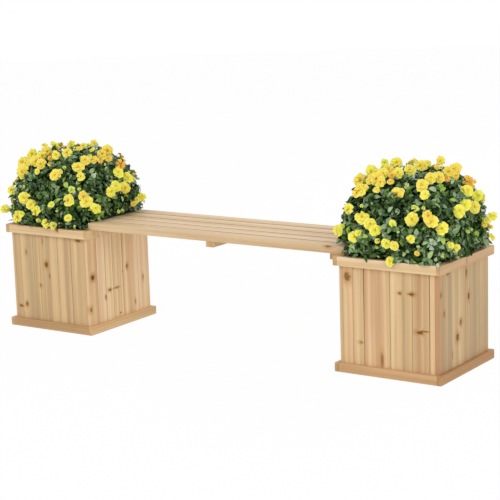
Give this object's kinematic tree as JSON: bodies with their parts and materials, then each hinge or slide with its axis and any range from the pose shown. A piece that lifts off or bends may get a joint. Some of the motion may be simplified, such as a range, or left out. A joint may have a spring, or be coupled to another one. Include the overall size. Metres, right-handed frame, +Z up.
{
  "type": "bench with planter",
  "caption": "Garden bench of light softwood: a slatted seat lies on the rims of square board planters, each filled with a dome of green leaves and yellow flowers.",
  "frame": {"origin": "on the ground under the middle of the bench", "axes": "+X along the bench towards the right planter as seen from the front, +Y from the front to the back, +Z up"},
  "size_m": [1.821, 0.4438, 0.6501],
  "materials": {
    "planter_wood": "planed softwood with knots, lightly oiled",
    "seat_wood": "planed softwood with rounded edges",
    "inner_wood": "rough sawn softwood",
    "screw_steel": "plain steel wood screws",
    "tub_plastic": "dark moulded plastic",
    "soil": null,
    "leaves": "small oval leaves, dark green with paler faces",
    "petals": "soft yellow petals with orange hearts"
  },
  "bodies": {
    "bench": {"left_planter_front_boards": "planter_wood", "left_planter_right_boards": "planter_wood", "left_planter_back_boards": "planter_wood", "left_planter_left_boards": "planter_wood", "left_planter_foot_trim_front": "planter_wood", "left_planter_foot_trim_right": "planter_wood", "left_planter_foot_trim_back": "planter_wood", "left_planter_foot_trim_left": "planter_wood", "left_planter_rim_trim_front": "planter_wood", "left_planter_rim_trim_right": "planter_wood", "left_planter_rim_trim_back": "planter_wood", "left_planter_rim_trim_left": "planter_wood", "left_planter_corner_posts": "inner_wood", "left_planter_floor_bearers": "inner_wood", "left_planter_floor_slats": "inner_wood", "left_planter_screws": "screw_steel", "right_planter_front_boards": "planter_wood", "right_planter_right_boards": "planter_wood", "right_planter_back_boards": "planter_wood", "right_planter_left_boards": "planter_wood", "right_planter_foot_trim_front": "planter_wood", "right_planter_foot_trim_right": "planter_wood", "right_planter_foot_trim_back": "planter_wood", "right_planter_foot_trim_left": "planter_wood", "right_planter_rim_trim_front": "planter_wood", "right_planter_rim_trim_right": "planter_wood", "right_planter_rim_trim_back": "planter_wood", "right_planter_rim_trim_left": "planter_wood", "right_planter_corner_posts": "inner_wood", "right_planter_floor_bearers": "inner_wood", "right_planter_floor_slats": "inner_wood", "right_planter_screws": "screw_steel", "seat_slat_1": "seat_wood", "seat_slat_2": "seat_wood", "seat_slat_3": "seat_wood", "seat_slat_4": "seat_wood", "seat_slat_5": "seat_wood", "seat_batten_left": "seat_wood", "seat_batten_middle": "seat_wood", "seat_batten_right": "seat_wood", "seat_slat_screws": "screw_steel", "seat_fixing_screws": "screw_steel"},
    "planting_left": {"left_plant_tub": "tub_plastic", "left_potting_soil": "soil", "left_plant_leaves": "leaves", "left_plant_flowers": "petals"},
    "planting_right": {"right_plant_tub": "tub_plastic", "right_potting_soil": "soil", "right_plant_leaves": "leaves", "right_plant_flowers": "petals"}
  },
  "joints": [
    {"name": "planting_left_lift", "type": "slide", "parent": "bench", "child": "planting_left", "axis": [0, 0, 1], "range_m": [0, 0.4]},
    {"name": "planting_right_lift", "type": "slide", "parent": "bench", "child": "planting_right", "axis": [0, 0, 1], "range_m": [0, 0.4]}
  ]
}
